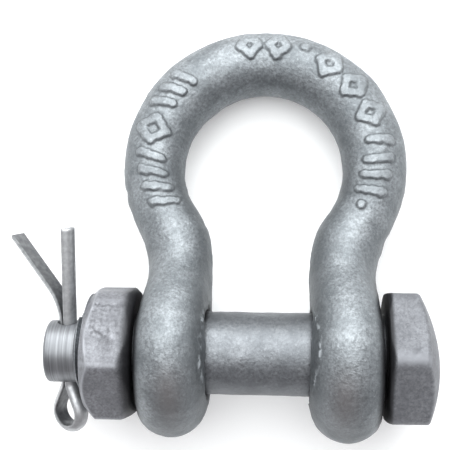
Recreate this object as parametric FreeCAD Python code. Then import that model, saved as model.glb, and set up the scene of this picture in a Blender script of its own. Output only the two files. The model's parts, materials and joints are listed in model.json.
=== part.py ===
import FreeCAD, Part
import math
import os

# Bow (anchor) shackle of the two tonne class with a safety bolt, hexagon nut and split pin.
#
# Frame: origin on the bolt's axis, midway between the two ears. +X runs along the bolt towards its head,
# +Y towards the crown and +Z is up. The shackle lies as it would on a bench, on its two ears and its crown,
# so the plane of the bow dips from the bolt's axis towards the crown.
# Shapes are drawn in the plane of the bow and then turned into place.

# Driving dimensions, in millimetres and degrees.
PIN_DIAMETER = 16.0
BODY_DIAMETER = 13.0
INSIDE_LENGTH = 46.0
BOW_WIDTH = 31.6
LEG_SPREAD = 31.8
JAW = 19.5
THROAT_RADIUS = 19.6
EAR_DIAMETER = 32.8
EAR_EDGE_DIAMETER = 14.2
EAR_THICKNESS = 13.3
SPOT_FACE_RADIUS = 15.2
EAR_BORE_CLEARANCE = 0.5
EAR_BORE_CHAMFER = 0.6
THREAD_PITCH_DIAMETER = 14.7
THREAD_CLEARANCE = 0.05
THREAD_TIP_DIAMETER = 13.2
THREAD_INTO_EAR = 1.5
ACROSS_FLATS = 24.0
HEAD_HEIGHT = 8.7
HEAD_FACE_DIAMETER = 23.2
HEAD_CORNER_CHAMFER = 2.2
HEAD_CORNER_ANGLE = 90.0
HEAD_GAP = 0.9
NUT_HEIGHT = 9.6
NUT_CORNER_DIAMETER = 26.4
NUT_FACE_DIAMETER = 23.2
NUT_CHAMFER = 1.3
NUT_CORNER_ANGLE = 99.6
NUT_GAP = 0.35
THREAD_RUNOUT = 1.1
END_DIAMETER = 11.8
END_LENGTH = 6.9
END_ROUNDING = 0.6
CROSS_HOLE_DIAMETER = 4.2
CROSS_HOLE_SETBACK = 3.1
COTTER_RADIUS = 1.65
COTTER_SPLIT = 0.1
COTTER_LEAN = 14.6
COTTER_SWIVEL = 31.0
COTTER_LEG = 24.1
COTTER_NECK = 6.4
COTTER_EYE_RADIUS = 2.35
COTTER_EYE_LENGTH = 16.4
COTTER_NECK_BEND = 3.0
SPREAD_START = 5.4
SPREAD_RADIUS = 10.5
SPREAD_ANGLE = 44.0
SPREAD_STRAIGHT = 12.8
CUT_OVERRUN = 1.0

# Sizes that follow from them.
PIN_RADIUS = PIN_DIAMETER / 2
BODY_RADIUS = BODY_DIAMETER / 2
EAR_RADIUS = EAR_DIAMETER / 2
EAR_EDGE_RADIUS = EAR_EDGE_DIAMETER / 2
EAR_INNER = JAW / 2
EAR_OUTER = EAR_INNER + EAR_THICKNESS
EAR_MIDDLE = EAR_INNER + EAR_EDGE_RADIUS
EAR_RING = EAR_RADIUS - EAR_EDGE_RADIUS
CROWN_RADIUS = BOW_WIDTH / 2 + BODY_RADIUS
CROWN_TOP = PIN_RADIUS + INSIDE_LENGTH + BODY_RADIUS
CROWN_CENTRE = CROWN_TOP - CROWN_RADIUS
LEG_X = LEG_SPREAD / 2
THROAT_X = LEG_X + THROAT_RADIUS
THROAT_Y = CROWN_CENTRE - math.sqrt((CROWN_RADIUS + THROAT_RADIUS) ** 2 - THROAT_X**2)
REST_DIP = math.degrees(math.asin((EAR_RADIUS - BODY_RADIUS) / CROWN_TOP))
HEAD_FACE = EAR_OUTER + HEAD_GAP
NUT_FACE = -(EAR_OUTER + NUT_GAP)
NUT_BACK = NUT_FACE - NUT_HEIGHT
THREAD_START = -(EAR_OUTER - THREAD_INTO_EAR)
THREAD_END = NUT_BACK - THREAD_RUNOUT
END_FACE = THREAD_END - END_LENGTH
COTTER_X = THREAD_END - CROSS_HOLE_SETBACK

# Sections of the neck: distance from the bolt's axis, centre across, half width, half depth.
NECK_STATIONS = [
    (2.0, 16.85, 6.8, 15.0),
    (9.0, 16.45, 6.7, 12.0),
    (16.0, 15.9, 6.45, 8.6),
    (23.0, 16.6, 6.3, 6.4),
]

ORIGIN = FreeCAD.Vector(0, 0, 0)
X_AXIS = FreeCAD.Vector(1, 0, 0)
Y_AXIS = FreeCAD.Vector(0, 1, 0)
Z_AXIS = FreeCAD.Vector(0, 0, 1)


def at(x, y, z=0.0):
    return FreeCAD.Vector(x, y, z)


def line(start, end):
    return Part.makeLine(start, end)


def arc(start, through, end):
    return Part.Arc(start, through, end).toShape()


def on_circle(centre_x, centre_y, radius, degrees):
    turn = math.radians(degrees)
    return at(centre_x + radius * math.cos(turn), centre_y + radius * math.sin(turn))


def mirrored(point):
    return at(-point.x, point.y, point.z)


def turned_about_x(edges):
    """Solid turned about the X axis from a closed outline in the XY plane."""
    return Part.Face(Part.Wire(edges)).revolve(ORIGIN, X_AXIS, 360)


def turned_profile(points):
    """Solid turned about the X axis from a closed polygon of (x, radius) points."""
    corners = [at(x, radius) for x, radius in points]
    return turned_about_x(Part.makePolygon(corners + corners[:1]).Edges)


def rod(x_from, x_to, radius):
    return Part.makeCylinder(radius, x_to - x_from, at(x_from, 0), X_AXIS)


def hexagon(x_from, height, corner_angle):
    """Hexagonal prism along X, with one corner at corner_angle, measured from +Y towards +Z."""
    corner_radius = ACROSS_FLATS / math.sqrt(3)
    corners = []
    for step in range(7):
        turn = math.radians(corner_angle + 60 * step)
        corners.append(at(x_from, corner_radius * math.cos(turn), corner_radius * math.sin(turn)))
    return Part.Face(Part.makePolygon(corners)).extrude(at(height, 0))


def bow_line():
    """Centre line of the round bar: leg, throat, crown, throat, leg, each tangent to the next."""
    throat_turn = math.degrees(math.atan2(CROWN_CENTRE - THROAT_Y, THROAT_X))
    foot = at(LEG_X, 0)
    leg_end = at(LEG_X, THROAT_Y)
    throat_mid = on_circle(THROAT_X, THROAT_Y, THROAT_RADIUS, 180 - throat_turn / 2)
    throat_end = on_circle(THROAT_X, THROAT_Y, THROAT_RADIUS, 180 - throat_turn)
    edges = [
        line(foot, leg_end),
        arc(leg_end, throat_mid, throat_end),
        arc(throat_end, at(0, CROWN_TOP), mirrored(throat_end)),
        arc(mirrored(throat_end), mirrored(throat_mid), mirrored(leg_end)),
        line(mirrored(leg_end), mirrored(foot)),
    ]
    return Part.Wire(edges)


def bar():
    section = Part.Wire(Part.makeCircle(BODY_RADIUS, at(LEG_X, 0), Y_AXIS))
    return bow_line().makePipeShell([section], True, False)


def ear(side):
    """Disc with a rounded rim."""
    inner_rim = at(EAR_INNER, EAR_RING)
    outer_rim = at(EAR_INNER + EAR_EDGE_DIAMETER, EAR_RING)
    outline = [
        line(at(EAR_INNER, 0), inner_rim),
        arc(inner_rim, at(EAR_MIDDLE, EAR_RADIUS), outer_rim),
        line(outer_rim, at(outer_rim.x, 0)),
        line(at(outer_rim.x, 0), at(EAR_INNER, 0)),
    ]
    disc = turned_about_x(outline)
    return disc if side > 0 else disc.mirror(ORIGIN, X_AXIS)


def spot_face(side):
    """Cutter for the flat on the outside of an ear, where the nut or the head bears."""
    cutter = rod(EAR_OUTER, EAR_OUTER + EAR_THICKNESS, SPOT_FACE_RADIUS)
    return cutter if side > 0 else cutter.mirror(ORIGIN, X_AXIS)


def neck(side):
    """Tapered root that carries the round leg into the wider ear."""
    sections = []
    for y, centre_x, half_x, half_z in NECK_STATIONS:
        major = max(half_x, half_z)
        minor = min(half_x, half_z)
        outline = Part.Ellipse(ORIGIN, major, minor).toShape()
        outline.rotate(ORIGIN, X_AXIS, -90)
        if half_z > half_x:
            outline.rotate(ORIGIN, Y_AXIS, 90)
        outline.translate(at(side * centre_x, y))
        sections.append(Part.Wire(outline))
    return Part.makeLoft(sections, True, False)


def ear_bore(side):
    """Clearance hole for the bolt with both of its mouths broken."""
    radius = PIN_RADIUS + EAR_BORE_CLEARANCE
    wide = radius + EAR_BORE_CHAMFER
    hole = turned_profile(
        [
            (EAR_INNER - CUT_OVERRUN, 0),
            (EAR_INNER - CUT_OVERRUN, wide),
            (EAR_INNER, wide),
            (EAR_INNER + EAR_BORE_CHAMFER, radius),
            (EAR_OUTER - EAR_BORE_CHAMFER, radius),
            (EAR_OUTER, wide),
            (EAR_OUTER + CUT_OVERRUN, wide),
            (EAR_OUTER + CUT_OVERRUN, 0),
        ]
    )
    return hole if side > 0 else hole.mirror(ORIGIN, X_AXIS)


def bow():
    solid = bar().fuse([ear(1), ear(-1), neck(1), neck(-1)])
    solid = solid.cut([spot_face(1), spot_face(-1), ear_bore(1), ear_bore(-1)])
    solid.rotate(ORIGIN, X_AXIS, -REST_DIP)
    return solid


def bolt_head():
    """Hexagon with the corners of its outer face turned off to a cone."""
    top = HEAD_FACE + HEAD_HEIGHT
    corner = ACROSS_FLATS / math.sqrt(3)
    blank = turned_profile(
        [
            (HEAD_FACE, 0),
            (HEAD_FACE, corner),
            (top - HEAD_CORNER_CHAMFER, corner),
            (top, HEAD_FACE_DIAMETER / 2),
            (top, 0),
        ]
    )
    return hexagon(HEAD_FACE, HEAD_HEIGHT, HEAD_CORNER_ANGLE).common(blank)


def bolt_stem():
    """Plain shank, threaded length at its pitch diameter and the turned-down end, along X."""
    thread = THREAD_PITCH_DIAMETER / 2
    end = END_DIAMETER / 2
    return turned_profile(
        [
            (END_FACE, 0),
            (END_FACE, end - END_ROUNDING),
            (END_FACE + END_ROUNDING, end),
            (THREAD_END, end),
            (THREAD_END, THREAD_TIP_DIAMETER / 2),
            (THREAD_END + THREAD_RUNOUT, thread),
            (THREAD_START, thread),
            (THREAD_START, PIN_RADIUS),
            (HEAD_FACE, PIN_RADIUS),
            (HEAD_FACE, 0),
        ]
    )


def cotter_place(shape):
    """Turns a shape drawn with the pin's axis on +Y and its spread towards -X into the cross-hole."""
    shape.rotate(ORIGIN, Y_AXIS, -COTTER_SWIVEL)
    shape.rotate(ORIGIN, X_AXIS, COTTER_LEAN)
    shape.translate(at(COTTER_X, 0))
    return shape


def cross_hole():
    hole = Part.makeCylinder(CROSS_HOLE_DIAMETER / 2, PIN_DIAMETER, at(0, -PIN_RADIUS), Y_AXIS)
    return cotter_place(hole)


def bolt():
    return bolt_stem().fuse(bolt_head()).cut(cross_hole()).removeSplitter()


def nut():
    """Hexagon nut, turned off to a cone on both faces, with its thread bored at the pitch diameter."""
    corner = NUT_CORNER_DIAMETER / 2
    face = NUT_FACE_DIAMETER / 2
    blank = turned_profile(
        [
            (NUT_BACK, 0),
            (NUT_BACK, face),
            (NUT_BACK + NUT_CHAMFER, corner),
            (NUT_FACE - NUT_CHAMFER, corner),
            (NUT_FACE, face),
            (NUT_FACE, 0),
        ]
    )
    bore_radius = THREAD_PITCH_DIAMETER / 2 + THREAD_CLEARANCE
    mouth = bore_radius + THREAD_RUNOUT
    bore = turned_profile(
        [
            (NUT_BACK - CUT_OVERRUN, 0),
            (NUT_BACK - CUT_OVERRUN, mouth),
            (NUT_BACK, mouth),
            (NUT_BACK + THREAD_RUNOUT, bore_radius),
            (NUT_FACE - THREAD_RUNOUT, bore_radius),
            (NUT_FACE, mouth),
            (NUT_FACE + CUT_OVERRUN, mouth),
            (NUT_FACE + CUT_OVERRUN, 0),
        ]
    )
    return hexagon(NUT_BACK, NUT_HEIGHT, NUT_CORNER_ANGLE).common(blank).cut(bore)


def cotter_line():
    """Line of the wire's flat side: straight leg, neck, eye, neck, then the leg that is bent away."""
    half_gap = COTTER_SPLIT / 2
    eye_centre = -(COTTER_EYE_LENGTH - COTTER_RADIUS - COTTER_EYE_RADIUS)
    eye_span = -COTTER_NECK - eye_centre
    flare = math.degrees(math.asin((COTTER_EYE_RADIUS - half_gap) / eye_span))
    bend_length = COTTER_NECK_BEND * math.tan(math.radians(flare / 2))
    bend_turn = math.radians(flare)
    neck_top = at(half_gap, -COTTER_NECK + bend_length)
    neck_mid = at(
        half_gap + COTTER_NECK_BEND * (1 - math.cos(bend_turn / 2)),
        neck_top.y - COTTER_NECK_BEND * math.sin(bend_turn / 2),
    )
    neck_end = at(
        half_gap + COTTER_NECK_BEND * (1 - math.cos(bend_turn)),
        neck_top.y - COTTER_NECK_BEND * math.sin(bend_turn),
    )
    eye_start = on_circle(0, eye_centre, COTTER_EYE_RADIUS, flare)
    eye_end = at(0, eye_centre - COTTER_EYE_RADIUS)
    spread = math.radians(SPREAD_ANGLE)
    spread_centre = half_gap + SPREAD_RADIUS
    spread_start = at(-half_gap, SPREAD_START)
    spread_mid = at(
        SPREAD_RADIUS * math.cos(spread / 2) - spread_centre,
        SPREAD_START + SPREAD_RADIUS * math.sin(spread / 2),
    )
    spread_end = at(
        SPREAD_RADIUS * math.cos(spread) - spread_centre,
        SPREAD_START + SPREAD_RADIUS * math.sin(spread),
    )
    tip = at(
        spread_end.x - SPREAD_STRAIGHT * math.sin(spread),
        spread_end.y + SPREAD_STRAIGHT * math.cos(spread),
    )
    edges = [
        line(at(half_gap, COTTER_LEG), neck_top),
        arc(neck_top, neck_mid, neck_end),
        line(neck_end, eye_start),
        arc(eye_start, eye_end, mirrored(eye_start)),
        line(mirrored(eye_start), mirrored(neck_end)),
        arc(mirrored(neck_end), mirrored(neck_mid), mirrored(neck_top)),
        line(mirrored(neck_top), spread_start),
        arc(spread_start, spread_mid, spread_end),
        line(spread_end, tip),
    ]
    return Part.Wire(edges)


def cotter_pin():
    """One length of half-round wire, its flat side turned inwards all the way round."""
    centre = at(COTTER_SPLIT / 2, COTTER_LEG)
    front = centre + at(0, 0, COTTER_RADIUS)
    back = centre - at(0, 0, COTTER_RADIUS)
    crest = centre + at(COTTER_RADIUS, 0)
    section = Part.Wire([arc(back, crest, front), line(front, back)])
    return cotter_place(cotter_line().makePipeShell([section], True, False))


def main():
    nodes = {"bow": bow(), "bolt": bolt(), "nut": nut(), "cotter_pin": cotter_pin()}
    for name, shape in nodes.items():
        shape.exportStep(f"parts/{name}.step")


os.makedirs("parts", exist_ok=True)
main()
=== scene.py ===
import json
import math

import bmesh
import bpy
import numpy as np
from mathutils import Euler, Matrix, Vector


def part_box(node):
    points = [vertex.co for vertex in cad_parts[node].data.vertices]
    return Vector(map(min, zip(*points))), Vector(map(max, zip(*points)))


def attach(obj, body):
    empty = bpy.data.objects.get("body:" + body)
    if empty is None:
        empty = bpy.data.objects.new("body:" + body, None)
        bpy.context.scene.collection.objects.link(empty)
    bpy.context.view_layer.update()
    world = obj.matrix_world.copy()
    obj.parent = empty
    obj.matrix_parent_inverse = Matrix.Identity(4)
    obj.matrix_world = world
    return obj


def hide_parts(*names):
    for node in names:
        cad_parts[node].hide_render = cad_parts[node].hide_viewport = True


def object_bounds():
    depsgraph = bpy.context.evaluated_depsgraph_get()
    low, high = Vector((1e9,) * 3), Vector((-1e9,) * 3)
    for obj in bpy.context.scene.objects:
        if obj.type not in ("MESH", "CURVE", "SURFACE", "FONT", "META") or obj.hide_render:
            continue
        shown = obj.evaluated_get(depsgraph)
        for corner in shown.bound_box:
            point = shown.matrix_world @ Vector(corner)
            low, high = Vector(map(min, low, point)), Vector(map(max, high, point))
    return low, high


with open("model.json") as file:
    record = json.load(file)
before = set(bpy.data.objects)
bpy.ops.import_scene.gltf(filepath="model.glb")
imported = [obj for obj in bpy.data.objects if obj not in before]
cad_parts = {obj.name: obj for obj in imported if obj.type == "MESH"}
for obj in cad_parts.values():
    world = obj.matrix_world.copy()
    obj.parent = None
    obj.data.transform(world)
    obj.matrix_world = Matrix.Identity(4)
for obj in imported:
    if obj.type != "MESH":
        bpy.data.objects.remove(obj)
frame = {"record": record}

# Looks of the bow shackle: a hot-dip galvanised forging closed by a bolt, a nut and a split pin.
# Shapes are worked out in millimetres, in the row frame, and written to meshes in metres.
# The bow is shaped in its own plane (X across, Y to the crown, Z through the bar) and is then dipped into
# place. Along it, s is the arc length from the crown, negative on the left, and u the distance outwards.

CAD_LOW, CAD_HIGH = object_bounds()
MM = 0.001


def box_mm(node):
    """Low and high corners of a CAD node's box, in millimetres."""
    low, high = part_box(node)
    return low / MM, high / MM


# Sizes read from the frame, in millimetres.
MOUNTS = {mount["name"]: mount for mount in frame["record"]["mounts"]}
PIN_RADIUS = MOUNTS["bolt_span"]["dims"]["r_mm"]
JAW = MOUNTS["bolt_span"]["dims"]["length_mm"]
BAR_RADIUS = MOUNTS["crown_saddle"]["dims"]["r_mm"]
SADDLE = Vector(MOUNTS["crown_saddle"]["pos_m"]) / MM
DIP = math.atan2(-SADDLE.z, SADDLE.y)
BOLT_LOW, BOLT_HIGH = box_mm("bolt")
NUT_LOW, NUT_HIGH = box_mm("nut")
FLOOR_GAP = 0.22
FLOOR_Z = CAD_LOW.z / MM - FLOOR_GAP

# The bow's centre line.
CROWN_RADIUS = 22.3
CROWN_Y = SADDLE.length + BAR_RADIUS - CROWN_RADIUS
LEG_X = 15.9
THROAT_RADIUS = 19.6
THROAT_X = LEG_X + THROAT_RADIUS
THROAT_Y = CROWN_Y - math.sqrt((CROWN_RADIUS + THROAT_RADIUS) ** 2 - THROAT_X**2)
THROAT_TURN = math.atan2(CROWN_Y - THROAT_Y, THROAT_X)
CROWN_LENGTH = CROWN_RADIUS * (math.pi / 2 + THROAT_TURN)
THROAT_LENGTH = THROAT_RADIUS * THROAT_TURN
HALF_LENGTH = CROWN_LENGTH + THROAT_LENGTH + THROAT_Y

# The bar swells and wanders a little along its length: distance from the crown, then radius and outward
# shift on each side.
BAR_STATIONS = (0, 8, 16, 24, 34, 44, 48.5, 52, 58, 68, HALF_LENGTH)
LEFT_RADII = (6.6, 6.65, 6.7, 6.5, 6.2, 6.0, 6.05, 6.4, 6.3, 6.35, 6.8)
LEFT_SHIFTS = (0, 0, -0.12, -0.22, -0.15, 0.05, 0.05, -0.1, 0, 0, 0)
RIGHT_RADII = (6.6, 6.6, 6.6, 6.5, 6.45, 6.0, 6.1, 6.6, 6.45, 6.45, 7.05)
RIGHT_SHIFTS = (0, 0, 0, 0, 0.05, 0.4, 0.5, 0.3, 0.1, 0, 0)

# The ears. Each is a ring about the bolt, flat where the nut or the head bears.
EAR_RADIUS = 16.4
EAR_RING = 9.4
EAR_THICKNESS = 13.3
EAR_INNER = JAW / 2
EAR_OUTER = EAR_INNER + EAR_THICKNESS
EAR_TAPER = (3.0, 15.0)
NECK_BLEND = 8.0
SPOT_FACE_RADIUS = 12.4
SPOT_FACE_X = EAR_OUTER - 0.3
SPOT_FACE_BLEND = 0.8
BORE_RADIUS = PIN_RADIUS + 0.5
BORE_BLEND = 1.3
LIP_RADIUS = BORE_RADIUS + 1.1

# Relief on the forging.
BOW_STEP = 0.6
BOX_SPARE = 8.0
MARK_HEIGHT = 0.43
MARK_HALF_WIDTH = 0.95
MARK_TOP = MARK_HALF_WIDTH - 0.4
MARK_FOOT = MARK_HALF_WIDTH + 0.2
MARK_WALL = MARK_HALF_WIDTH + 0.12
MARK_FRONT = (1.5, 3.0)
FLASH_HALF_WIDTH = 0.75
LIP_HALF_WIDTH = 0.5
SCAR_HEIGHT = 0.16
SCAR_HALF_WIDTH = 0.24
SCAR_REACH = 8.2
SCAR_BULGE = 1.55

# Small bumps and one nick on the left outer edge: distance along the bar and height.
EDGE_BUMPS = ((-9.6, 0.22), (-13.3, 0.28), (-20.4, 0.2), (-22.4, 0.3), (-40.1, -0.35))

# ---------------------------------------------------------------------------------------------------------
# Small tools


def ease(value, low, high):
    """0 below low, 1 above high and a smooth step between them."""
    share = np.clip((value - low) / (high - low), 0, 1)
    return share * share * (3 - 2 * share)


def bell(offset, width):
    """1 where the offset is nought, falling smoothly to almost 0 at twice the width."""
    return np.exp(-((offset / width) ** 2))


def smooth_min(first, second, reach):
    """The lesser of two distances, with the corner between them filled over that reach."""
    mix = np.clip(reach - np.abs(first - second), 0, None) / reach
    return np.minimum(first, second) - mix * mix * reach / 4


def smooth_max(first, second, reach):
    return -smooth_min(-first, -second, reach)


def ripples(points, wavelength, seed, waves=16):
    """Smooth random field of about unit size: plane waves of about that length in random directions."""
    chance = np.random.default_rng(seed)
    total = np.zeros(len(points))
    for _ in range(waves):
        direction = chance.normal(size=3)
        direction *= 2 * math.pi * chance.uniform(0.7, 1.4) / (wavelength * np.linalg.norm(direction))
        total += np.sin(points @ direction + chance.uniform(0, 2 * math.pi))
    return total * math.sqrt(2 / waves)


def gradient(field, points, step=0.02):
    """Unit gradient of a field at the points, by central differences."""
    slope = np.empty_like(points)
    for axis in range(3):
        shift = np.zeros(3)
        shift[axis] = step
        slope[:, axis] = field(points + shift) - field(points - shift)
    return slope / np.maximum(np.linalg.norm(slope, axis=1, keepdims=True), 1e-9)


def settle(field, points, rounds=3):
    """Moves the points onto the surface where the field is nought."""
    for _ in range(rounds):
        points = points - field(points)[:, None] * gradient(field, points)
    return points


CORNERS = np.array([(i, j, k) for i in (0, 1) for j in (0, 1) for k in (0, 1)])
CELL_EDGES = [(a, b) for a in range(8) for b in range(a + 1, 8) if abs(CORNERS[a] - CORNERS[b]).sum() == 1]


def surface_nets(field, low, high, step):
    """Quad mesh of the surface where the field is nought: one point per crossed cell of a regular grid."""
    axes = [np.arange(a, b + step, step) for a, b in zip(low, high)]
    grid = np.stack(np.meshgrid(*axes, indexing="ij"), axis=-1)
    shape = grid.shape[:3]
    values = field(grid.reshape(-1, 3)).reshape(shape)
    inside = values < 0
    cells = tuple(size - 1 for size in shape)
    count = np.zeros(cells, int)
    for i, j, k in CORNERS:
        count += inside[i : i + cells[0], j : j + cells[1], k : k + cells[2]]
    crossed = np.argwhere((count > 0) & (count < 8))
    number = -np.ones(cells, int)
    number[tuple(crossed.T)] = np.arange(len(crossed))
    corner_values = values[tuple((crossed[:, None, :] + CORNERS[None]).transpose(2, 0, 1))]
    total = np.zeros((len(crossed), 3))
    hits = np.zeros(len(crossed))
    for a, b in CELL_EDGES:
        start, end = corner_values[:, a], corner_values[:, b]
        cut = (start < 0) != (end < 0)
        share = np.where(cut, start / np.where(cut, start - end, 1), 0)[:, None]
        total += np.where(cut[:, None], CORNERS[a] * (1 - share) + CORNERS[b] * share, 0)
        hits += cut
    origin = np.array([axis[0] for axis in axes])
    points = origin + step * (crossed + total / hits[:, None])
    quads = []
    for axis in range(3):
        u, v = [a for a in range(3) if a != axis]
        start = np.moveaxis(inside, axis, 0)[:-1]
        end = np.moveaxis(inside, axis, 0)[1:]
        where = np.argwhere(start != end)
        leaves = start[tuple(where.T)]
        full = np.empty_like(where)
        full[:, axis] = where[:, 0]
        full[:, u] = where[:, 1]
        full[:, v] = where[:, 2]
        ring = []
        for du, dv in ((0, 0), (-1, 0), (-1, -1), (0, -1)):
            cell = full.copy()
            cell[:, u] += du
            cell[:, v] += dv
            ring.append(number[tuple(cell.T)])
        ring = np.stack(ring, axis=1)
        flip = leaves if axis == 1 else ~leaves
        ring[flip] = ring[flip][:, ::-1]
        quads.append(ring)
    return points, np.concatenate(quads)


def mesh_object(name, points_mm, faces):
    """Smooth-shaded mesh object from points in millimetres."""
    mesh = bpy.data.meshes.new(name)
    mesh.from_pydata((np.asarray(points_mm) * MM).tolist(), [], [tuple(map(int, face)) for face in faces])
    mesh.validate()
    mesh.polygons.foreach_set("use_smooth", [True] * len(mesh.polygons))
    mesh.update()
    thing = bpy.data.objects.new(name, mesh)
    bpy.context.collection.objects.link(thing)
    return thing


def paint(thing, name, values):
    """Stores one number per point for a material to read."""
    layer = thing.data.attributes.new(name, "FLOAT", "POINT")
    layer.data.foreach_set("value", np.asarray(values, np.float32))


def points_of(thing):
    co = np.empty(len(thing.data.vertices) * 3)
    thing.data.vertices.foreach_get("co", co)
    return co.reshape(-1, 3) / MM


def centres_of(thing):
    centres = np.empty(len(thing.data.polygons) * 3)
    thing.data.polygons.foreach_get("center", centres)
    return centres.reshape(-1, 3) / MM


def put_points(thing, points_mm):
    thing.data.vertices.foreach_set("co", (points_mm * MM).ravel())
    thing.data.update()


def from_x_axis(points):
    """Distance of each point from the X axis, and the unit direction from the axis to it."""
    away = points * (0, 1, 1)
    radius = np.linalg.norm(away, axis=1)
    return radius, away / np.maximum(radius, 1e-6)[:, None]


def angle_of(points):
    """Angle about the X axis in degrees, from +Y towards +Z."""
    return np.degrees(np.arctan2(points[:, 2], points[:, 1]))


# ---------------------------------------------------------------------------------------------------------
# The bow


def along_bar(points):
    """Where points lie on the bow, as (s, u)."""
    x, y = points[:, 0], points[:, 1]
    side = np.abs(x)
    swing = np.arctan2(side, y - CROWN_Y)
    from_throat = np.hypot(side - THROAT_X, y - THROAT_Y)
    throat_swing = np.arctan2(y - THROAT_Y, THROAT_X - side)
    ear_x = EAR_INNER + np.where(x < 0, LEFT_RADII[-1], RIGHT_RADII[-1])
    leg_line = LEG_X + (ear_x - LEG_X) * (1 - ease(y, *EAR_TAPER))
    on_crown = swing <= math.pi / 2 + THROAT_TURN
    on_leg = ~on_crown & (y < THROAT_Y)
    length = CROWN_LENGTH + THROAT_RADIUS * (THROAT_TURN - throat_swing)
    length = np.where(on_crown, CROWN_RADIUS * swing, length)
    length = np.where(on_leg, CROWN_LENGTH + THROAT_LENGTH + THROAT_Y - y, length)
    outwards = THROAT_RADIUS - from_throat
    outwards = np.where(on_crown, np.hypot(x, y - CROWN_Y) - CROWN_RADIUS, outwards)
    outwards = np.where(on_leg, side - leg_line, outwards)
    return np.where(x < 0, -length, length), outwards


def at_stations(reach, on_left, left_values, right_values):
    """A value read off the bar's stations, for the side that each point is on."""
    left = np.interp(reach, BAR_STATIONS, left_values)
    right = np.interp(reach, BAR_STATIONS, right_values)
    return np.where(on_left, left, right)


def bow_field(points):
    """Signed distance, near enough, to the forged bow: negative inside."""
    x, y, z = points.T
    s, u = along_bar(points)
    radius = at_stations(np.abs(s), x < 0, LEFT_RADII, RIGHT_RADII)
    shift = at_stations(np.abs(s), x < 0, LEFT_SHIFTS, RIGHT_SHIFTS)
    from_axis = np.hypot(y, z)
    spine = np.where(y > 0, np.abs(z), from_axis)
    depth = smooth_min(from_axis - EAR_RING, spine, NECK_BLEND)
    depth = np.where(y < 2 * EAR_RADIUS, np.maximum(depth, 0), np.abs(z))
    body = np.hypot(u - shift, depth) - radius
    spot_face = np.maximum(SPOT_FACE_X - np.abs(x), from_axis - SPOT_FACE_RADIUS)
    body = smooth_max(body, -spot_face, SPOT_FACE_BLEND)
    return smooth_max(body, BORE_RADIUS - from_axis, BORE_BLEND)


def bar_mark(s, u, length, degrees):
    """A straight stroke about a point, turned from the bow's line."""
    turn = math.radians(degrees)
    ds, du = length / 2 * math.cos(turn), length / 2 * math.sin(turn)
    return [((s - ds, u - du), (s + ds, u + du))]


def dot_mark(s, u):
    """A stroke so short that it reads as a dot."""
    return [((s, u), (s + 0.1, u))]


def lozenge_mark(s, u, half_s, half_u):
    """Four strokes from corner to corner."""
    ring = [(s + half_s, u), (s, u + half_u), (s - half_s, u), (s, u - half_u)]
    return [(ring[i], ring[(i + 1) % 4]) for i in range(4)]


def raised_marks():
    """Plain bars, lozenges and dots that stand where a forging carries its marks, as strokes in (s, u)."""
    strokes = []
    for step in range(4):
        strokes += bar_mark(-45.2 + 3.4 * step, -1.0 + 0.3 * step, 4.4, 70)
    strokes += lozenge_mark(-29.4, 0.3, 2.5, 2.7)
    for step in range(3):
        strokes += bar_mark(-23.6 + 3.2 * step, 0.8, 4.0, 110)
    strokes += lozenge_mark(-2.9, 1.5, 1.7, 2.2)
    strokes += lozenge_mark(2.6, 1.3, 1.7, 2.2)
    strokes += dot_mark(7.6, 2.4)
    for step in range(3):
        strokes += lozenge_mark(13.2 + 6.4 * step, 1.2 - 0.2 * step, 2.0, 2.3)
    strokes += bar_mark(31.6, 1.0, 4.0, 82)
    for step in range(3):
        strokes += bar_mark(35.4 + 3.3 * step, 0.4 - 0.2 * step, 4.4, 98)
    strokes += dot_mark(45.4, -0.6)
    return strokes


def distance_to_marks(s, u):
    """Distance from each point to the nearest stroke of a mark."""
    nearest = np.full(len(s), np.inf)
    for (s0, u0), (s1, u1) in raised_marks():
        ds, du = s1 - s0, u1 - u0
        share = np.clip(((s - s0) * ds + (u - u0) * du) / (ds * ds + du * du + 1e-9), 0, 1)
        nearest = np.minimum(nearest, np.hypot(s - s0 - share * ds, u - u0 - share * du))
    return nearest


def mark_heights(points):
    """How far the marks stand up from the front of the bow, and a weight for the painted shade at the foot
    of each mark.
    """
    s, u = along_bar(points)
    away = distance_to_marks(s, u) + 0.07 * ripples(points, 1.6, 11)
    front = ease(points[:, 2], *MARK_FRONT)
    height = MARK_HEIGHT * (1 - ease(away, MARK_TOP, MARK_FOOT)) * front
    # painted shade: a thin band at the foot of each mark's side, where shade falls
    wall_shade = bell(away - MARK_WALL, 0.2) * front
    return height, wall_shade


def flash_heights(points):
    """The trimmed flash left along the mid-plane by the two halves of the die."""
    _, u = along_bar(points)
    band = bell(points[:, 2], FLASH_HALF_WIDTH) * ease(np.abs(u), 4.0, 5.5)
    band = band * (points[:, 1] > -EAR_RADIUS)
    return band * (0.08 + 0.04 * ripples(points, 5.0, 21) + 0.015 * ripples(points, 2.0, 22))


def edge_bumps(points):
    """Heights of the bumps and of the nick on the bow's outer edge."""
    s, u = along_bar(points)
    rise = np.zeros(len(points))
    for place, height in EDGE_BUMPS:
        rise += height * bell(s - place, 0.7) * bell(points[:, 2], 1.6) * (u > 4)
    return rise


def lumps(points):
    """Low unevenness of the forging and of its zinc."""
    broad, fine = ripples(points, 13.0, 1), ripples(points, 4.5, 2)
    return 0.035 * broad + 0.02 * fine + 0.012 * ripples(points, 1.7, 3)


def lip_heights(points):
    """Zinc gathered on the mouth of each ear's bore."""
    x, y, z = points.T
    height = 0.12 + 0.08 * ripples(points, 2.2, 31)
    return height * bell(np.hypot(y, z) - LIP_RADIUS, LIP_HALF_WIDTH) * (np.abs(x) < EAR_INNER + 2)


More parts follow.
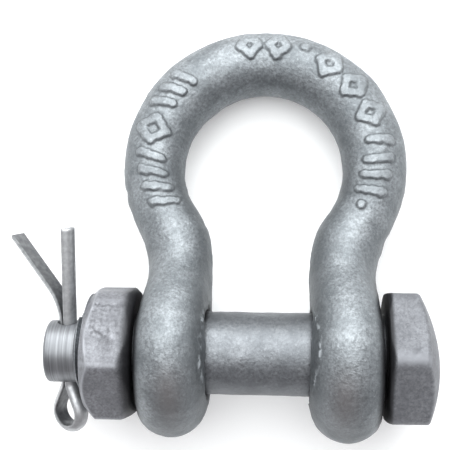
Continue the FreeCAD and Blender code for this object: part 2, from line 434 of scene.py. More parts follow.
def mouth_scar(points):
    """A thin broken ridge, from 0 to 1, round the front of each ear's inner mouth."""
    x, y, z = points.T
    bulge = SCAR_BULGE * np.clip(1 - (y / SCAR_REACH) ** 2, 0, None)
    off_line = np.abs(x) - EAR_INNER - np.where(x > 0, bulge, 0.5 * bulge)
    ridge = bell(off_line, SCAR_HALF_WIDTH) * (z > 8.6) * (np.abs(y) < SCAR_REACH)
    return ridge * np.clip(0.55 + 0.5 * ripples(points, 2.6, 33), 0, 1)


def weld(thing):
    """Joins points that lie in one place."""
    work = bmesh.new()
    work.from_mesh(thing.data)
    bmesh.ops.remove_doubles(work, verts=work.verts, dist=1e-7)
    work.to_mesh(thing.data)
    work.free()


def refine(thing, chosen):
    """Splits the chosen faces so that small relief is drawn sharply."""
    work = bmesh.new()
    work.from_mesh(thing.data)
    work.faces.ensure_lookup_table()
    edges = {edge for index in np.flatnonzero(chosen) for edge in work.faces[index].edges}
    bmesh.ops.subdivide_edges(work, edges=list(edges), cuts=1, use_grid_fill=True)
    work.to_mesh(thing.data)
    work.free()
    thing.data.polygons.foreach_set("use_smooth", [True] * len(thing.data.polygons))


def refine_relief(bow, middle, reach):
    """Refines a band about that distance from the marks' strokes, and the fronts of the inner mouths."""
    centres = centres_of(bow)
    x, y, z = centres.T
    near_mark = np.abs(distance_to_marks(*along_bar(centres)) - middle) < reach
    near_mouth = (np.abs(y) < 9) & (z > 8) & (np.abs(x) < EAR_INNER + 2.4)
    refine(bow, near_mark & (z > MARK_FRONT[0]) | near_mouth)


def shade_bow(bow, points, outward):
    """Paints shade in the recesses, on the inner side and where the forging is turned from the light, and
    marks its stains; points are as they end up.
    """
    x, y, z = np.abs(points[:, 0]), points[:, 1], points[:, 2]
    from_axis = np.hypot(y, z)
    spot_face = ease(x, SPOT_FACE_X - 1.6, SPOT_FACE_X - 0.3) * (1 - ease(from_axis, 13.0, 15.5))
    bore = (1 - ease(from_axis, BORE_RADIUS + 0.2, BORE_RADIUS + 0.9)) * (y < BORE_RADIUS + 1)
    facing = np.maximum(ease(np.abs(outward[:, 0]), 0.45, 0.95), ease(-outward[:, 1], 0.5, 1.0))
    # painted shade: the inner side of the bar is darkened, standing for the shade inside the loop
    paint(bow, "inner", -along_bar(points)[1] / BAR_RADIUS)
    # painted shade: the spot faces and the bore are darkened almost to black, standing for the shade in
    # these recesses between the parts
    paint(bow, "deep_shade", np.maximum(spot_face, bore))
    paint(bow, "stain", bell(y + 9.5, 4.5) * bell(x - EAR_INNER - 6, 2.4) * (z > 4))
    # painted shade: the bar is darker where it faces sideways or away from the crown, fading out over the
    # crown
    paint(bow, "side", facing * (1 - ease(y, CROWN_Y - 10, CROWN_Y + 14)))


def make_bow():
    """The forging: its plain surface first, then relief laid on along the surface's own direction."""
    low = (-EAR_OUTER - BOX_SPARE, -EAR_RADIUS - 1.2, -EAR_RADIUS - 1.2)
    high = (EAR_OUTER + BOX_SPARE, CROWN_Y + CROWN_RADIUS + BOX_SPARE, EAR_RADIUS + 1.2)
    bow = mesh_object("galvanised_bow", *surface_nets(bow_field, low, high, BOW_STEP))
    refine_relief(bow, 0.0, MARK_HALF_WIDTH + 0.8)
    refine_relief(bow, MARK_HALF_WIDTH, 0.5)
    points = settle(bow_field, points_of(bow))
    outward = gradient(bow_field, points)
    mark, wall_shade = mark_heights(points)
    scar = mouth_scar(points)
    in_bore = np.hypot(points[:, 1], points[:, 2]) < BORE_RADIUS + 0.3
    rise = edge_bumps(points) + mark + flash_heights(points) + lip_heights(points)
    rise += SCAR_HEIGHT * scar + np.where(in_bore, 0, lumps(points))
    points = points + outward * rise[:, None]
    paint(bow, "mark", mark / MARK_HEIGHT)
    paint(bow, "wall_shade", wall_shade)
    # painted glints: bright flecks are painted along the mouth's ridge as highlights
    paint(bow, "rim", scar)
    shade_bow(bow, points, outward)
    dip = np.array(Euler((-DIP, 0, 0)).to_matrix())
    put_points(bow, points @ dip.T)
    return bow


# ---------------------------------------------------------------------------------------------------------
# Turned and hexagonal pieces: rings of points about the X axis

AROUND = 288
THETA = np.arange(AROUND) * 2 * math.pi / AROUND


def ringed(name, rings, closed=True):
    """Mesh from rings, each a pair of arrays or numbers (x, radius) round the X axis, from +Y to +Z."""
    points = []
    for x, radius in rings:
        x = np.broadcast_to(x, THETA.shape)
        radius = np.broadcast_to(radius, THETA.shape)
        points.append(np.stack([x, radius * np.cos(THETA), radius * np.sin(THETA)], axis=1))
    faces = []
    for ring in range(len(rings) - 1):
        here, there = ring * AROUND, (ring + 1) * AROUND
        for step in range(AROUND):
            after = (step + 1) % AROUND
            faces.append((here + step, here + after, there + after, there + step))
    if closed:
        first, last = len(rings) * AROUND, (len(rings) - 1) * AROUND
        faces += [(first, (step + 1) % AROUND, step) for step in range(AROUND)]
        faces += [(first + 1, last + step, last + (step + 1) % AROUND) for step in range(AROUND)]
        points += [points[0].mean(axis=0, keepdims=True), points[-1].mean(axis=0, keepdims=True)]
    return mesh_object(name, np.concatenate(points), faces)


def hexagon_radius(across_flats, corner_degrees, rounding):
    """Distance from the axis to a hexagon's side at each angle, its corners rounded."""
    radius = None
    for flat_degrees in range(30, 390, 60):
        off_flat = THETA - np.radians(corner_degrees) - math.radians(flat_degrees)
        side = across_flats / 2 / np.maximum(np.cos(off_flat), 1e-3)
        radius = side if radius is None else smooth_min(radius, side, rounding)
    return radius


def steps(start, end, spacing):
    """Evenly spaced values from start to end, about that far apart."""
    count = max(int(round(abs(end - start) / spacing)), 1)
    return np.linspace(start, end, count + 1)


ACROSS_FLATS = 24.0

# The bolt: head, thread, turned end and cross-hole. HEAD_FACE is the head's underside.
HEAD_TOP = BOLT_HIGH.x
HEAD_HEIGHT = 8.7
HEAD_FACE = HEAD_TOP - HEAD_HEIGHT
HEAD_UNDER_RADIUS = 12.1
HEAD_UNDER_SLOPE = 1.7
DOME_RISE = 1.45
DOME_DROP = 0.019
DOME_TOP_Y = -2.2
THREAD_SHOWN = 1.9
THREAD_END = NUT_LOW.x - THREAD_SHOWN
THREAD_PITCH = 2.0
THREAD_ROOT = 6.75
CREST_IN_NUT = 7.35
CREST_OUTSIDE = 7.8
END_FACE = BOLT_LOW.x
END_RADIUS = 6.0
END_ROUNDING = 0.6
END_HOLLOW = 0.35
END_HOLLOW_RIM = (1.0, 1.9)
END_OFFSET = 0.3
CROSS_HOLE_SETBACK = 4.2
CROSS_HOLE_X = NUT_LOW.x - CROSS_HOLE_SETBACK
CROSS_HOLE_RADIUS = 2.1
LEAN = math.radians(14.6)
SWIVEL = math.radians(31.0)


def thread_radius(x, crest):
    """Radius of the right-hand thread at x, for every angle."""
    phase = (x / THREAD_PITCH - THETA / (2 * math.pi)) % 1.0
    ridge = 1 - np.abs(2 * phase - 1)
    return THREAD_ROOT + (crest - THREAD_ROOT) * np.clip(ridge * 1.25 - 0.12, 0, 1)


def end_rings():
    """The turned end: a small hollow in its face, a rounded rim and a side with faint tool lines."""
    rings = []
    for r in (0.5, 1.0, 1.3, 1.6, 1.9):
        rings.append((END_FACE + END_HOLLOW * (1 - ease(r, *END_HOLLOW_RIM)), r))
    rings += [(END_FACE, r) for r in steps(2.4, END_RADIUS - 0.75, 0.6)]
    for turn in np.radians(steps(-90, 0, 15)):
        x = END_FACE + END_ROUNDING * (1 + math.sin(turn))
        rings.append((x, END_RADIUS - END_ROUNDING * (1 - math.cos(turn))))
    for x in steps(END_FACE + 0.75, THREAD_END - 0.25, 0.22):
        rings.append((x, END_RADIUS + 0.012 * math.sin(9.1 * x) + 0.01 * math.sin(23.0 * x)))
    return rings + [(THREAD_END - 0.1, END_RADIUS + 0.04), (THREAD_END, END_RADIUS + 0.25)]


def thread_rings():
    """The thread's last turns, run out to a cone, and a plain core from inside the nut to the ear."""
    rings = []
    nut_mouth = NUT_LOW.x + 0.75
    for x in steps(THREAD_END + 0.06, nut_mouth, 0.09):
        outside = 1 - ease(x, NUT_LOW.x + 0.1, nut_mouth)
        crest = CREST_IN_NUT + (CREST_OUTSIDE - CREST_IN_NUT) * outside
        cone = END_RADIUS + 0.6 + 2.2 * (x - THREAD_END)
        rings.append((x, smooth_min(thread_radius(x, crest), cone, 0.25)))
    return rings + [(x, CREST_IN_NUT) for x in steps(nut_mouth + 0.2, -EAR_OUTER + 1.0, 0.6)]


def shank_rings():
    """The plain shank, from its shoulder inside the left ear to the fillet under the head."""
    rings = [(-EAR_OUTER + 1.5, CREST_IN_NUT + 0.03), (-EAR_OUTER + 1.6, PIN_RADIUS - 0.2)]
    rings.append((-EAR_OUTER + 1.9, PIN_RADIUS))
    for x in steps(-EAR_OUTER + 2.4, HEAD_FACE - 0.5, 0.5):
        rings.append((x, PIN_RADIUS - 0.03 + 0.02 * math.sin(0.9 * x)))
    return rings + [(HEAD_FACE - 0.2, PIN_RADIUS + 0.08), (HEAD_FACE - 0.02, PIN_RADIUS + 0.35)]


# The head's hexagon has a corner towards +Z and is a little fuller on the side away from the crown.
HEAD_HEX = hexagon_radius(ACROSS_FLATS, 90.0, 2.0) + 0.3 * ease(-np.cos(THETA), 0.5, 1.0)


def head_top_x(radius):
    """The head's outer face: a shallow dome whose top lies off the axis, away from the crown."""
    y, z = radius * np.cos(THETA), radius * np.sin(THETA)
    return HEAD_TOP + DOME_RISE - DOME_DROP * ((y - DOME_TOP_Y) ** 2 + z * z)


def head_rings():
    """From the underside out to the hexagon's sides, along them to the dome's rim and in to its middle."""
    inner = PIN_RADIUS + 0.6
    underside = np.minimum(HEAD_HEX - 0.25, HEAD_UNDER_RADIUS)
    rings = [(HEAD_FACE, inner + share * (underside - inner)) for share in steps(0, 1, 0.1)]
    rim_x = head_top_x(HEAD_HEX) - 0.3
    for share in steps(0.02, 1, 0.025):
        x = HEAD_FACE + share * (rim_x - HEAD_FACE)
        chamfer = HEAD_UNDER_RADIUS + (x - HEAD_FACE) * HEAD_UNDER_SLOPE
        rings.append((x, smooth_min(HEAD_HEX, chamfer, 0.4)))
    rings.append((head_top_x(HEAD_HEX) - 0.1, HEAD_HEX - 0.12))
    for share in (0.97, 0.93, 0.88, 0.8, 0.7, 0.6, 0.5, 0.4, 0.3, 0.2, 0.1, 0.04):
        rings.append((head_top_x(HEAD_HEX * share), HEAD_HEX * share))
    return rings


DIMPLE_ARM = 12.5


def dimples(points, places):
    """How far in the surface is pressed by round dimples, each (x, angle in degrees, radius, depth)."""
    angle = angle_of(points)
    pressed = np.zeros(len(points))
    for x, degrees, radius, depth in places:
        across = (points[:, 0] - x) / radius
        around = np.radians(angle - degrees) * DIMPLE_ARM / radius
        pressed += depth * np.exp(-(across**2 + around**2) ** 1.5)
    return pressed


def press(thing, places, least_radius):
    """Presses dimples into what lies further out than the least radius."""
    points = points_of(thing)
    radius, radial = from_x_axis(points)
    depth = np.where(radius > least_radius, dimples(points, places), 0)
    put_points(thing, points - radial * depth[:, None])


def specks(seed, columns, rows, x_range, angle_range, depth):
    """Small round pits on a loose grid over part of a flat."""
    chance = np.random.default_rng(seed)
    return [
        (x + chance.uniform(-0.3, 0.3), angle + chance.uniform(-1.5, 1.5), chance.uniform(0.35, 0.6), depth)
        for x in np.linspace(*x_range, columns)
        for angle in np.linspace(*angle_range, rows)
    ]


HEAD_DIMPLES = specks(52, 3, 4, (HEAD_FACE + 1.25, HEAD_FACE + 3.85), (41, 57), 0.14)
HEAD_DIMPLES += [(HEAD_FACE + 4.65, 84, 0.45, 0.2), (HEAD_FACE + 5.25, 82.5, 0.45, 0.2)]


def make_bolt():
    """Turned end, thread tip, shank and head as one run of rings from the end's face to the head's top."""
    bolt = ringed("galvanised_bolt", end_rings() + thread_rings() + shank_rings() + head_rings())
    points = points_of(bolt)
    shank = ease(points[:, 0], -EAR_OUTER + 1.6, -EAR_OUTER + 3.0)
    uneven = 0.02 * ripples(points, 7.0, 41) + 0.012 * ripples(points, 2.4, 42)
    points = points + from_x_axis(points)[1] * (shank * (uneven - 0.03))[:, None]
    points[:, 1] -= END_OFFSET * (points[:, 0] < THREAD_END)
    put_points(bolt, points)
    press(bolt, HEAD_DIMPLES, PIN_RADIUS + 2)
    return bolt


def shade_bolt(bolt):
    """Paints shade where the bolt is turned from the light, inside the ears and under its head, and marks
    its worn corner.
    """
    points = points_of(bolt)
    x, up = points[:, 0], points[:, 1] / PIN_RADIUS
    radius, _ = from_x_axis(points)
    facing = np.maximum(0.75 * ease(up, 0.25, 0.6), ease(-up, 0.45, 0.85))
    worn_corner = bell(angle_of(points) - 90, 5) * ease(radius, 12.0, 13.0)
    in_ears = ease(np.abs(x), EAR_INNER - 0.1, EAR_INNER + 0.6) * (x > NUT_HIGH.x) * (x < HEAD_FACE)
    under_head = (1 - ease(x, HEAD_FACE + 0.35, HEAD_FACE + 1.2)) * (x > EAR_OUTER - 1)
    # painted shade: the shank is darker on the sides facing towards and away from the crown, between the
    # ears
    paint(bolt, "side", facing * (np.abs(x) < EAR_INNER + 1))
    paint(bolt, "mark", worn_corner * (x > HEAD_FACE + 1))
    # painted shade: the bolt is darkened almost to black inside the ears and under its head, where shade
    # falls between the parts
    paint(bolt, "deep_shade", np.maximum(in_ears, under_head))


# The nut's hexagon, turned by that many degrees and capped most on the side towards the crown.
NUT_CORNER = 99.6
NUT_CAP = 12.5 + 1.2 * ease(-np.cos(THETA), -0.3, 0.5)
NUT_HEX = smooth_min(hexagon_radius(ACROSS_FLATS, NUT_CORNER, 0.8), NUT_CAP, 0.3)
NUT_BORE = 7.4
NUT_MOUTH = 1.1
NUT_CHAMFER = 2.6
NUT_CHAMFER_START = 0.12
NUT_OUTER_RIM = 11.3
NUT_OUTER_SLOPE = 1.05
NUT_INNER_RIM = 11.4
NUT_INNER_SLOPE = 0.95
NUT_EDGE_BLEND = 0.18
NUT_DIMPLES = specks(51, 4, 6, (NUT_LOW.x + 2.6, NUT_LOW.x + 6.6), (45, 73), 0.3)
NUT_DIMPLES += [(NUT_LOW.x + 3.6, 84, 2.4, 0.7)]

# How much deeper the nut's outer chamfer is cut towards the crown, and where its outer face lies.
NUT_WEAR = 0.11 * np.clip(12 * np.cos(THETA - math.radians(10)) - 2, 0, None)
NUT_BACK_X = NUT_LOW.x + 0.02 + NUT_WEAR * 0.25


def outer_chamfer(x, wear, back_x):
    """Radius of the cone that cuts the nut's outer corners."""
    return NUT_OUTER_RIM - wear * 0.85 + (x - back_x) * NUT_OUTER_SLOPE


def make_nut():
    """Rings from the bore's outer mouth over the outer face, flats and inner face, back through the bore."""
    face = NUT_HIGH.x
    rings = []
    for share in (1.0, 0.8, 0.6, 0.35, 0.15, 0.0):
        rings.append((NUT_BACK_X + share, NUT_BORE + (NUT_MOUTH + 0.05) * (1 - share)))
    rings += [(NUT_BACK_X + 0.02 * (r - 8.6) ** 2, r) for r in steps(8.9, 11.0, 0.5)]
    for share in steps(0.0, 1.0, 0.06):
        x = NUT_BACK_X + NUT_CHAMFER_START + share * NUT_CHAMFER
        rings.append((x, smooth_min(NUT_HEX, outer_chamfer(x, NUT_WEAR, NUT_BACK_X), NUT_EDGE_BLEND)))
    side_x = NUT_BACK_X + NUT_CHAMFER_START + NUT_CHAMFER
    for share in steps(0.05, 1.0, 0.06):
        x = side_x + share * (face - 0.1 - side_x)
        inner_chamfer = NUT_INNER_RIM + (face - x) * NUT_INNER_SLOPE
        rings.append((x, smooth_min(NUT_HEX, inner_chamfer, NUT_EDGE_BLEND)))
    rings += [(face, r) for r in steps(11.1, 8.7, 0.5)]
    for share in (0.0, 0.3, 0.6, 1.0):
        rings.append((face - share * NUT_MOUTH, NUT_BORE + NUT_MOUTH * (1 - share)))
    rings += [(x, NUT_BORE) for x in steps(face - 1.4, NUT_LOW.x + 1.5, 0.5)]
    rings.append(rings[0])
    nut = ringed("galvanised_nut", rings, closed=False)
    weld(nut)
    press(nut, NUT_DIMPLES, NUT_BORE + 3)
    return nut


def shade_nut(nut):
    """Marks the nut's worn edges and paints shade on the side that is close against the ear."""
    points = points_of(nut)
    x, turn = points[:, 0], np.radians(angle_of(points)) % (2 * math.pi)
    shape = (NUT_HEX, NUT_WEAR, NUT_BACK_X)
    flat, wear, back_x = (np.interp(turn, THETA, values, period=2 * math.pi) for values in shape)
    off_edge = flat - outer_chamfer(x, wear, back_x)
    off_corner = (np.degrees(turn) - NUT_CORNER + 30) % 60 - 30
    worn = np.maximum(bell(off_edge, 0.22), 0.5 * bell(off_corner, 2))
    paint(nut, "mark", worn * (from_x_axis(points)[0] > 11))
    # painted shade: the nut's face towards the ear is darkened almost to black, standing for the shade in
    # the gap
    paint(nut, "deep_shade", ease(x, NUT_HIGH.x - 2.8, NUT_HIGH.x - 0.6))


# ---------------------------------------------------------------------------------------------------------
# The split pin

COTTER_RADIUS = 1.65
COTTER_HALF_GAP = 0.05
COTTER_LEG = 24.1
COTTER_NECK = 6.4
COTTER_EYE_RADIUS = 2.5
COTTER_NECK_BEND = 3.0
COTTER_EYE_LENGTH = 16.75
COTTER_CORNER = 0.22
SPREAD_START = 4.7
SPREAD_RADIUS = 10.5
SPREAD_TURN = math.radians(47.0)
SPREAD_STRAIGHT = 13.6


def run(start, direction, length, spacing=0.5):
    """Points and headings along a straight."""
    count = max(int(length / spacing), 1)
    along = np.linspace(0, length, count + 1)[1:]
    points = np.array(start) + along[:, None] * np.array([math.cos(direction), math.sin(direction)])
    return [(point, direction) for point in points]


def bend(start, direction, radius, turn, count):
    """Points and headings along an arc; a positive turn goes to the left."""
    side = math.copysign(math.pi / 2, turn)
    centre = np.array(start) + radius * np.array([math.cos(direction + side), math.sin(direction + side)])
    places = []
    for share in np.linspace(0, 1, count + 1)[1:]:
        heading = direction + turn * share
        out = heading - side
        places.append((centre + radius * np.array([math.cos(out), math.sin(out)]), heading))
    return places


def cotter_route():
    """The line of the wire's flat side in the pin's own plane: leg, neck, eye, neck and the bent leg."""
    down, up = -math.pi / 2, math.pi / 2
    eye_y = -(COTTER_EYE_LENGTH - COTTER_RADIUS - COTTER_EYE_RADIUS)
    flare = math.asin((COTTER_EYE_RADIUS - COTTER_HALF_GAP) / (-COTTER_NECK - eye_y))
    leg = [(np.array([COTTER_HALF_GAP, COTTER_LEG]), down)]
    leg += run(leg[-1][0], down, COTTER_LEG + COTTER_NECK)
    neck = [leg[-1]] + bend(leg[-1][0], down, COTTER_NECK_BEND, flare, 6)
    eye_start = np.array([COTTER_EYE_RADIUS * math.cos(flare), eye_y + COTTER_EYE_RADIUS * math.sin(flare)])
    gap = eye_start - neck[-1][0]
    neck += run(neck[-1][0], math.atan2(gap[1], gap[0]), float(np.linalg.norm(gap)))
    eye = bend(eye_start, down + flare, COTTER_EYE_RADIUS, -math.pi - 2 * flare, 28)
    other_neck = [(point * np.array([-1, 1]), -heading) for point, heading in reversed(neck[:-1])]
    route = leg + neck[1:] + eye + other_neck
    route += run(route[-1][0], up, SPREAD_START - route[-1][0][1])
    route += bend(route[-1][0], up, SPREAD_RADIUS, SPREAD_TURN, 16)
    route += run(route[-1][0], up + SPREAD_TURN, SPREAD_STRAIGHT)
    return route


def cotter_section():
    """Half-round section: (bulge, across) points, the flat side first, its corners eased."""
    flat_half = COTTER_RADIUS - COTTER_CORNER
    section = [(0.0, across) for across in np.linspace(-flat_half, flat_half, 7)]
    section.append((0.06, COTTER_RADIUS - 0.07))
    for turn in np.radians(np.linspace(78, -78, 17)):
        section.append((COTTER_RADIUS * math.cos(turn) * 0.97, COTTER_RADIUS * math.sin(turn)))
    section.append((0.06, -COTTER_RADIUS + 0.07))
    return np.array(section)


def cotter_matrix():
    """From the pin's own plane to the cross-hole: leaned with the hole and turned about it."""
    lean = Matrix.Rotation(LEAN, 4, "X")
    swivel = Matrix.Rotation(-SWIVEL, 4, "Y")
    return Matrix.Translation((CROSS_HOLE_X, 0, 0)) @ lean @ swivel


def make_cotter():
    """The half-round section swept along the wire's route, both ends closed."""
    route = cotter_route()
    section = cotter_section()
    points = []
    for place, heading in route:
        bulging = np.array([-math.sin(heading), math.cos(heading)])
        for bulge, across in section:
            points.append((*(place + bulge * bulging), across))
    sides = len(section)
    faces = []
    for ring in range(len(route) - 1):
        here, there = ring * sides, (ring + 1) * sides
        for step in range(sides):
            after = (step + 1) % sides
            faces.append((here + step, there + step, there + after, here + after))
    faces.append(tuple(range(sides)))
    faces.append(tuple(range(len(points) - 1, len(points) - 1 - sides, -1)))
    seat = np.array(cotter_matrix())
    pin = mesh_object("split_pin", np.array(points) @ seat[:3, :3].T + seat[:3, 3], faces)
    # the flat side is painted darker: duller zinc with painted shade on it
    paint(pin, "flat", np.tile(section[:, 0] < 0.1, len(route)))
    return pin


# ---------------------------------------------------------------------------------------------------------
# Materials


def times(colour, factor):
    """A colour made lighter or darker by a factor."""
    return tuple(factor * value for value in colour)


class Nodes:
    """Short calls for building a material's nodes."""

    def __init__(self, name):
        self.material = bpy.data.materials.new(name)
        self.material.use_nodes = True
        self.tree = self.material.node_tree
        self.shader = self.tree.nodes["Principled BSDF"]
        self.place = self.add("ShaderNodeTexCoord").outputs["Object"]

    def add(self, kind, **settings):
        node = self.tree.nodes.new(kind)
        for key, value in settings.items():
            setattr(node, key, value)
        return node

    def link(self, source, target):
        self.tree.links.new(source, target)

    def noise(self, scale, detail=2.0, stretch=None, roughness=0.5):
        node = self.add("ShaderNodeTexNoise")
        node.inputs["Scale"].default_value = scale
        node.inputs["Detail"].default_value = detail
        node.inputs["Roughness"].default_value = roughness
        source = self.place
        if stretch:
            mapping = self.add("ShaderNodeMapping")
            mapping.inputs["Scale"].default_value = stretch
            self.link(source, mapping.inputs["Vector"])
            source = mapping.outputs["Vector"]
        self.link(source, node.inputs["Vector"])
        return node.outputs["Fac"]

    def spread(self, source, low, high, to_low=0.0, to_high=1.0):
        node = self.add("ShaderNodeMapRange")
        for name, value in zip(("From Min", "From Max", "To Min", "To Max"), (low, high, to_low, to_high)):
            node.inputs[name].default_value = value
        self.link(source, node.inputs["Value"])
        return node.outputs["Result"]

    def math(self, operation, first, second):
        node = self.add("ShaderNodeMath", operation=operation)
        for slot_index, value in enumerate((first, second)):
            if isinstance(value, (int, float)):
                node.inputs[slot_index].default_value = value
            else:
                self.link(value, node.inputs[slot_index])
        return node.outputs["Value"]

    def mix(self, share, first, second):
        node = self.add("ShaderNodeMix", data_type="RGBA")
        self.link(share, node.inputs["Factor"])
        for socket, value in ((node.inputs["A"], first), (node.inputs["B"], second)):
            if isinstance(value, tuple):
                socket.default_value = (*value, 1.0)
            else:
                self.link(value, socket)
        return node.outputs["Result"]

    def attribute(self, name):
        return self.add("ShaderNodeAttribute", attribute_name=name).outputs["Fac"]

    def tint(self, colour, painted, most, over, start=0):
        """Lays a colour over another where a piece is painted."""
        return self.mix(self.spread(self.attribute(painted), start, 1, 0.0, most), colour, over)

    def bump(self, height, distance_mm, strength, under=None):
        node = self.add("ShaderNodeBump")
        node.inputs["Strength"].default_value = strength
        node.inputs["Distance"].default_value = distance_mm * MM
        self.link(height, node.inputs["Height"])
        if under is not None:
            self.link(under, node.inputs["Normal"])
        return node.outputs["Normal"]


BROWN_STAIN = (0.215, 0.2, 0.2)
# Near-black colour of the painted shade in gaps and recesses between the parts.
GAP_SHADE_COLOUR = (0.012, 0.012, 0.014)


def galvanised(name, light, dark, pit_depth, metallic, roughness, worn=0.14):
    """Hot-dip zinc: clouded blue-grey, finely pitted and brighter where worn, with painted shade in the
    gaps, at the feet of the marks, on the inner side and where it is turned from the light, and painted
    glints on the mouth ridges.
    """
    nodes = Nodes(name)
    clouds = nodes.spread(nodes.noise(210, 4.0, roughness=0.6), 0.36, 0.64)
    grain = nodes.spread(nodes.noise(1700, 3.0, roughness=0.7), 0.36, 0.64)
    colour = nodes.mix(clouds, dark, light)
    colour = nodes.mix(nodes.spread(grain, 0, 1, 0.0, 0.75), colour, times(dark, 0.58))
    pits = nodes.spread(nodes.noise(640, 4.0, roughness=0.75), 0.62, 0.7, 0.0, 0.6)
    colour = nodes.mix(pits, colour, times(dark, 0.45))
    bright = nodes.spread(nodes.noise(1300, 3.0, roughness=0.6), 0.58, 0.7, 0.0, 0.4)
    colour = nodes.mix(bright, colour, times(light, 1.2))
    # painted shade: thin dark outlines at the feet of the marks
    colour = nodes.tint(colour, "wall_shade", 0.5, times(dark, 0.35))
    colour = nodes.tint(colour, "mark", worn, times(light, 1.3))
    # painted shade where a piece is turned from the light
    colour = nodes.tint(colour, "side", 0.6, times(dark, 0.5))
    # painted shade on the bar's inner side
    colour = nodes.tint(colour, "inner", 0.2, times(dark, 0.62), start=0.1)
    colour = nodes.tint(colour, "stain", 0.6, BROWN_STAIN)
    # painted highlight: bright flecks painted along the ridge round each mouth, standing for glints
    rim_glints = nodes.math("MULTIPLY", nodes.spread(nodes.noise(800, 2.0), 0.47, 0.53), nodes.attribute("rim"))
    colour = nodes.mix(rim_glints, colour, times(light, 1.7))
    # painted shade: gaps and recesses darkened almost to black
    colour = nodes.tint(colour, "deep_shade", 0.92, GAP_SHADE_COLOUR)
    rough = nodes.spread(nodes.math("ADD", clouds, grain), 0.0, 2.0, roughness + 0.07, roughness - 0.06)
    nodes.link(colour, nodes.shader.inputs["Base Color"])
    nodes.link(rough, nodes.shader.inputs["Roughness"])
    nodes.shader.inputs["Metallic"].default_value = metallic
    normal = nodes.bump(nodes.noise(650, 3.0, roughness=0.6), pit_depth * 2.0, 0.8)
    normal = nodes.bump(nodes.noise(2100, 3.0, roughness=0.7), pit_depth, 1.0, normal)
    nodes.link(normal, nodes.shader.inputs["Normal"])
    return nodes.material


def turned_steel(name):
    """Bare turned end: fine rings left by the tool."""
    nodes = Nodes(name)
    rings = nodes.noise(1.0, 3.0, stretch=(4200, 40, 40), roughness=0.7)
    broad = nodes.noise(1.0, 1.0, stretch=(900, 60, 60))
    colour = nodes.mix(nodes.spread(rings, 0.35, 0.65), (0.155, 0.161, 0.171), (0.3, 0.309, 0.324))
    colour = nodes.mix(nodes.spread(broad, 0.3, 0.7, 0.0, 0.4), colour, (0.17, 0.176, 0.186))
    nodes.link(colour, nodes.shader.inputs["Base Color"])
    nodes.shader.inputs["Metallic"].default_value = 0.95
    nodes.shader.inputs["Roughness"].default_value = 0.46
    nodes.link(nodes.bump(rings, 0.03, 0.8), nodes.shader.inputs["Normal"])
    return nodes.material


def wire(name):
    """Half-round wire: bright zinc on its round side; its flat side is painted much darker, a duller finish
    with painted shade laid on it.
    """
    nodes = Nodes(name)
    patches = nodes.spread(nodes.noise(1100, 3.0), 0.35, 0.65)
    fine = nodes.noise(2600, 2.0)
    colour = nodes.mix(patches, (0.34, 0.345, 0.355), (0.44, 0.448, 0.458))
    # painted shade: the flat side's much darker colour stands for a duller finish and for shade
    flat = nodes.mix(patches, (0.13, 0.134, 0.14), (0.2, 0.204, 0.21))
    colour = nodes.mix(nodes.attribute("flat"), colour, flat)
    nodes.link(colour, nodes.shader.inputs["Base Color"])
    nodes.link(nodes.spread(patches, 0, 1, 0.5, 0.4), nodes.shader.inputs["Roughness"])
    nodes.shader.inputs["Metallic"].default_value = 0.9
    nodes.link(nodes.bump(fine, 0.03, 0.5), nodes.shader.inputs["Normal"])
    return nodes.material


def plain_floor():
    """Pale and almost even; the glow keeps it near white under soft light."""
    nodes = Nodes("pale_floor")
    soft = nodes.spread(nodes.noise(6, 2.0), 0, 1)
    colour = nodes.mix(soft, (0.86, 0.86, 0.86), (0.88, 0.88, 0.88))
    nodes.link(colour, nodes.shader.inputs["Base Color"])
    nodes.shader.inputs["Roughness"].default_value = 0.8
    nodes.shader.inputs["Specular IOR Level"].default_value = 0.2
    nodes.shader.inputs["Emission Color"].default_value = (1, 1, 1, 1)
    nodes.shader.inputs["Emission Strength"].default_value = 0.17
    return nodes.material


# ---------------------------------------------------------------------------------------------------------
# Putting it together


def drill(thing, cutter):
    """Cuts one closed mesh out of another and drops the cutter."""
    modifier = thing.modifiers.new("drill", "BOOLEAN")
    modifier.operation = "DIFFERENCE"
    modifier.solver = "EXACT"
    modifier.object = cutter
    result = bpy.data.meshes.new_from_object(thing.evaluated_get(bpy.context.evaluated_depsgraph_get()))
    thing.modifiers.clear()
    old = thing.data
    thing.data = result
    bpy.data.meshes.remove(old)
    bpy.data.objects.remove(cutter)


def cross_hole_cutter():
    """Round hole with both of its mouths eased, along the split pin's axis."""
    mouth, past = END_RADIUS - 0.45, END_RADIUS + 3.0
    rings = [(x, CROSS_HOLE_RADIUS) for x in (-mouth, -2.0, 2.0, mouth)]
    flared = CROSS_HOLE_RADIUS + 3.0
    cutter = ringed("cutter", [(-past, flared), *rings, (past, flared)])
    to_y = Matrix.Rotation(math.pi / 2, 4, "Z")
    place = Matrix.Translation(Vector((CROSS_HOLE_X, 0, 0)) * MM) @ Matrix.Rotation(LEAN, 4, "X")
    cutter.data.transform(to_y)
    cutter.data.transform(place)
    return cutter


def dress(thing, body, node, slot, *materials):
    """Gives a piece its materials and the body it moves with, and hides the CAD node it replaces; the slot
    argument is not used.
    """
    for material in materials:
        thing.data.materials.append(material)
    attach(thing, body)
    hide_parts(node)


# The camera looks almost straight down on the shackle, from a little beyond the bolt.
CAMERA_LENS = 74.66
CAMERA_DISTANCE = 0.18302
CAMERA_BACK = Vector((0.0725, -0.09997, 0.99235)).normalized()
CAMERA_ROLL = math.radians(1.11)
CAMERA_AIM = Vector((0.94, -0.05)) * MM


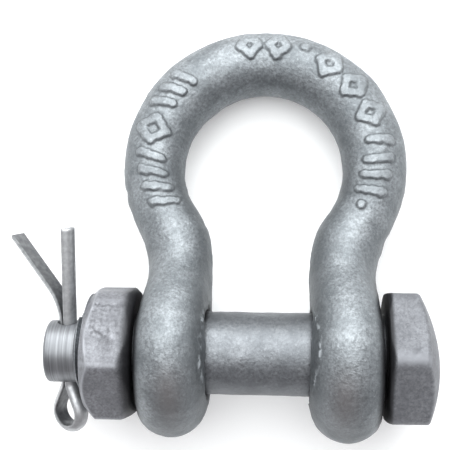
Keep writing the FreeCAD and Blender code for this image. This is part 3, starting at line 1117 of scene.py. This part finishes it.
def make_camera():
    """Camera in metres, aimed near the middle of the shackle on the plane of the bolt."""
    camera = bpy.data.objects.new("camera", bpy.data.cameras.new("camera"))
    bpy.context.collection.objects.link(camera)
    camera.data.lens = CAMERA_LENS
    camera.data.clip_start = 0.01
    middle = (CAD_LOW + CAD_HIGH) / 2
    place = Vector((middle.x + CAMERA_AIM.x, middle.y + CAMERA_AIM.y, 0)) + CAMERA_BACK * CAMERA_DISTANCE
    right = Vector((0, 1, 0)).cross(CAMERA_BACK).normalized()
    up = CAMERA_BACK.cross(right)
    roll = Matrix.Rotation(CAMERA_ROLL, 3, CAMERA_BACK)
    turn = Matrix((roll @ right, roll @ up, CAMERA_BACK)).transposed()
    camera.matrix_world = Matrix.Translation(place) @ turn.to_4x4()
    bpy.context.scene.camera = camera


# Soft boxes: name, place and size in metres, and power in watts. All face the middle of the shackle.
LIGHTS = (
    ("key", (-0.02, 0.17, 0.48), (0.6, 0.58), 3.7),
    ("back", (0.0, 0.48, 0.29), (0.9, 0.28), 3.8),
    ("left", (-0.75, 0.05, 0.18), (0.6, 0.3), 1.05),
    ("right", (0.75, 0.05, 0.18), (0.6, 0.3), 0.8),
)
LIGHT_AIM = Vector((0, 0.02, 0))
LIGHT_COLOUR = (0.97, 1.0, 1.0)
WORLD_COLOUR = (1, 0.965, 0.995, 1)
WORLD_STRENGTH = 0.46
FLOOR_HALF = 3000.0


def area_light(name, place, size, watts):
    light = bpy.data.lights.new(name, "AREA")
    light.shape = "RECTANGLE"
    light.size, light.size_y = size
    light.energy = watts
    light.color = LIGHT_COLOUR
    thing = bpy.data.objects.new(name, light)
    bpy.context.collection.objects.link(thing)
    thing.location = place
    thing.rotation_euler = (LIGHT_AIM - Vector(place)).to_track_quat("-Z", "Y").to_euler()


def make_stage():
    """Pale floor just under the shackle, soft boxes and an even surrounding light."""
    signs = ((-1, -1), (1, -1), (1, 1), (-1, 1))
    corners = [(i * FLOOR_HALF, j * FLOOR_HALF, FLOOR_Z) for i, j in signs]
    floor = mesh_object("floor", corners, [(0, 1, 2, 3)])
    floor.data.materials.append(plain_floor())
    for light in LIGHTS:
        area_light(*light)
    world = bpy.data.worlds.new("studio")
    bpy.context.scene.world = world
    world.use_nodes = True
    background = world.node_tree.nodes["Background"]
    background.inputs["Color"].default_value = WORLD_COLOUR
    background.inputs["Strength"].default_value = WORLD_STRENGTH


make_camera()
make_stage()
bpy.context.scene.view_settings.view_transform = "Standard"

zinc = galvanised("hot_dip_zinc", (0.325, 0.347, 0.364), (0.208, 0.226, 0.24), 0.085, 0.88, 0.53)
bolt_zinc = galvanised("bolt_zinc", (0.28, 0.294, 0.31), (0.2, 0.212, 0.227), 0.05, 0.9, 0.47)
head_zinc = galvanised("head_zinc", (0.22, 0.227, 0.244), (0.175, 0.18, 0.196), 0.035, 0.55, 0.6, 0.7)
nut_zinc = galvanised("nut_zinc", (0.26, 0.266, 0.286), (0.195, 0.199, 0.216), 0.03, 0.65, 0.52, 0.8)
bare = turned_steel("turned_steel")
pin_zinc = wire("zinc_wire_finish")

bow = make_bow()
dress(bow, "bow", "bow", "galvanised_forging", zinc)

bolt = make_bolt()
drill(bolt, cross_hole_cutter())
shade_bolt(bolt)
dress(bolt, "bolt", "bolt", "galvanised_bolt", bolt_zinc, bare, head_zinc)
for face in bolt.data.polygons:
    x = face.center.x / MM
    face.material_index = 1 if x < THREAD_END + 0.05 else 2 if x > HEAD_FACE - 0.3 else 0

nut = make_nut()
shade_nut(nut)
dress(nut, "nut", "nut", "galvanised_nut", nut_zinc)

cotter = make_cotter()
dress(cotter, "cotter", "cotter_pin", "zinc_wire", pin_zinc)

bpy.context.view_layer.update()
